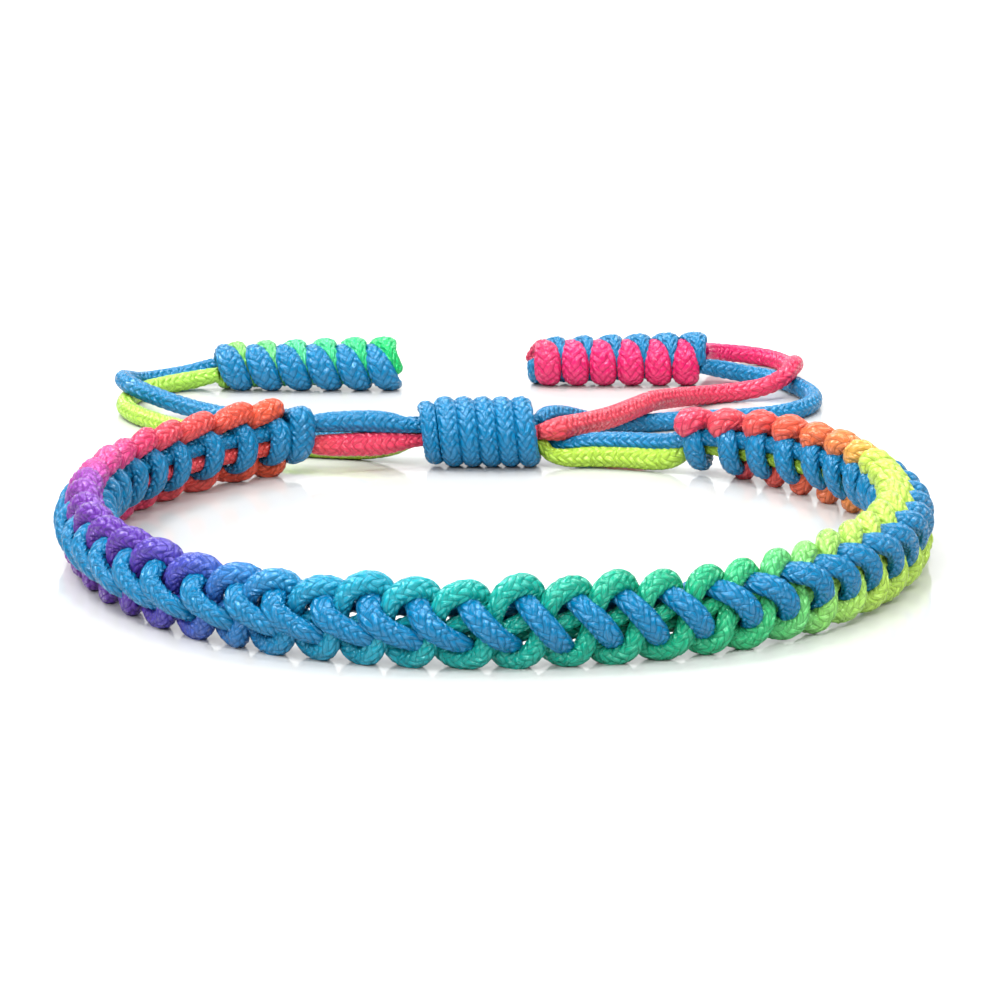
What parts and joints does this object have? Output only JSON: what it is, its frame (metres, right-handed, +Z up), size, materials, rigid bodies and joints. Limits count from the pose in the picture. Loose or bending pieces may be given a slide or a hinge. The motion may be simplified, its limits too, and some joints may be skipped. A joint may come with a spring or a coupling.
{
  "type": "braided bracelet",
  "caption": "Knotted flat cord bracelet, closed by a sliding wrapped knot, with loose cord ends that finish in coiled stopper knots.",
  "frame": {"origin": "middle of the band and its sliding knot seen from above, at the height of the surface the bracelet lies on", "axes": "+Z up along the wrist opening, +Y from the middle of the band to the sliding knot, +X to the viewer's right"},
  "size_m": [0.0644, 0.0981, 0.0063],
  "materials": {
    "cord_blue": "shiny braided nylon",
    "cord_rainbow": "shiny braided nylon",
    "cord_rainbow_core": "shiny braided nylon",
    "cord_red": "shiny braided nylon",
    "cord_lime": "shiny braided nylon",
    "cord_pink": "shiny braided nylon",
    "cord_green": "shiny braided nylon"
  },
  "bodies": {
    "root": {"core_blue": "cord_blue", "core_rainbow": "cord_rainbow_core", "edge_cord": "cord_rainbow", "wrap_cord": "cord_blue", "slider_knot": "cord_blue", "tail_right_blue": "cord_blue", "tail_right_red": "cord_red", "tail_left_blue": "cord_blue", "tail_left_lime": "cord_lime", "stopper_right_pink": "cord_pink", "stopper_right_blue": "cord_blue", "stopper_left_blue": "cord_blue", "stopper_left_green": "cord_green"}
  },
  "joints": []
}
